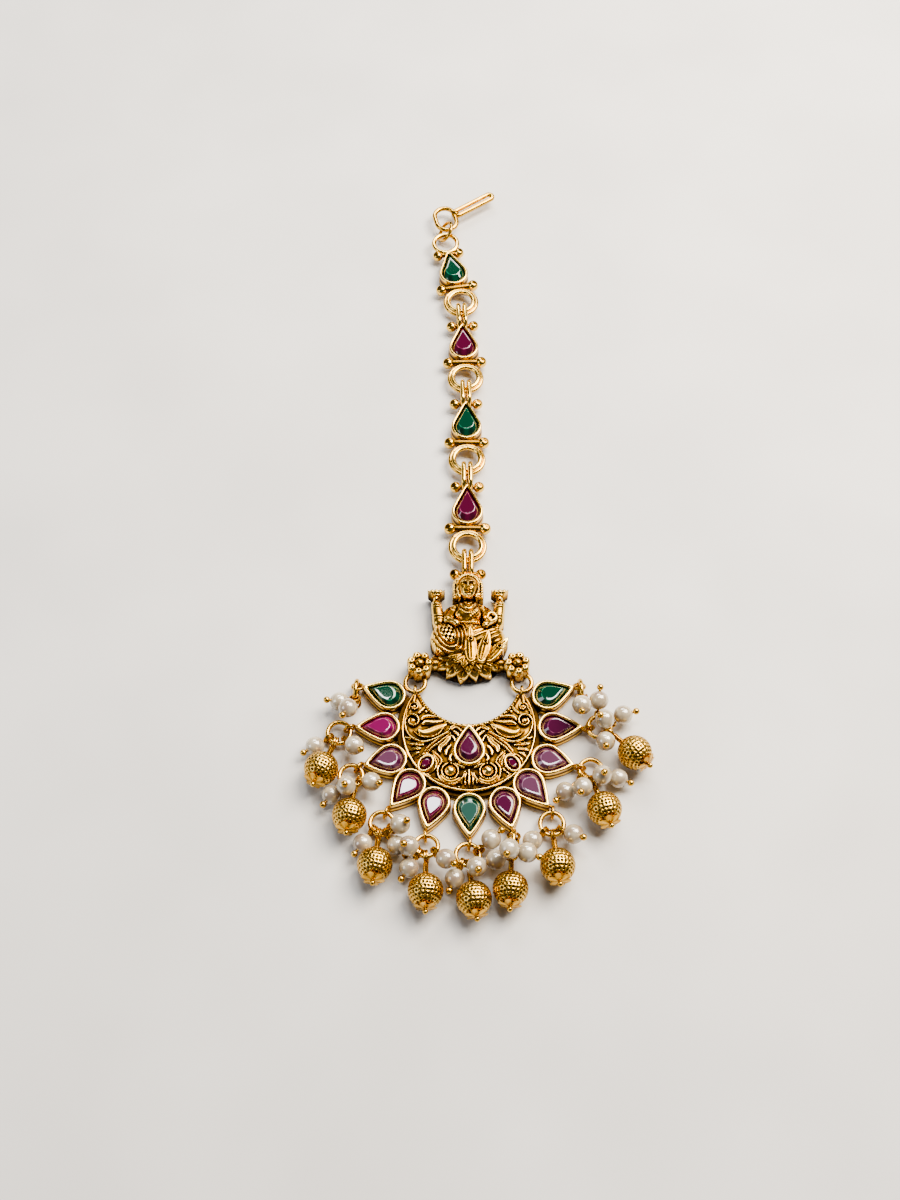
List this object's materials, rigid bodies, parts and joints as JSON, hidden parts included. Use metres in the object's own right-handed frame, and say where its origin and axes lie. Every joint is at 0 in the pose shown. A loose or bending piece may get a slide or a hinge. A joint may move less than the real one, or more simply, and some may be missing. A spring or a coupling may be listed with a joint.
{
  "type": "maang tikka",
  "caption": "Forehead jewel: a seated figure over a crescent of pear-cut stones, fringed with pearls and gold balls, on a stone-set chain that ends in a hair hook.",
  "frame": {"origin": "the middle of the crescent's outer circle, on its flat back face", "axes": "+Y runs up the chain to the hair hook, +Z comes out of the jewelled face, +X to the viewer's right"},
  "size_m": [0.0431, 0.1133, 0.0067],
  "materials": {
    "antique_gold": "satin",
    "bright_gold": "polished",
    "ruby_stone": "polished",
    "emerald_stone": "polished",
    "pearl": "satin"
  },
  "bodies": {
    "root": {"ball_pins": "bright_gold", "centre_stone": "ruby_stone", "chain_link_1": "antique_gold", "chain_link_2": "antique_gold", "chain_link_3": "antique_gold", "chain_link_4": "antique_gold", "chain_stone_1": "emerald_stone", "chain_stone_2": "ruby_stone", "chain_stone_3": "emerald_stone", "chain_stone_4": "ruby_stone", "crescent_setting": "antique_gold", "drop_ball_1": "bright_gold", "drop_ball_2": "bright_gold", "drop_ball_3": "bright_gold", "drop_ball_4": "bright_gold", "drop_ball_5": "bright_gold", "drop_ball_6": "bright_gold", "drop_ball_7": "bright_gold", "drop_ball_8": "bright_gold", "drop_ball_9": "bright_gold", "drop_rings": "bright_gold", "hair_hook": "bright_gold", "hook_ring": "bright_gold", "horn_ring_left": "bright_gold", "horn_ring_right": "bright_gold", "pearl_pins": "bright_gold", "pearls": "pearl", "petal_stone_1": "emerald_stone", "petal_stone_10": "ruby_stone", "petal_stone_11": "emerald_stone", "petal_stone_2": "ruby_stone", "petal_stone_3": "ruby_stone", "petal_stone_4": "ruby_stone", "petal_stone_5": "ruby_stone", "petal_stone_6": "emerald_stone", "petal_stone_7": "ruby_stone", "petal_stone_8": "ruby_stone", "petal_stone_9": "ruby_stone", "seated_figure": "antique_gold", "side_stone_left": "ruby_stone", "side_stone_right": "ruby_stone"}
  },
  "joints": []
}
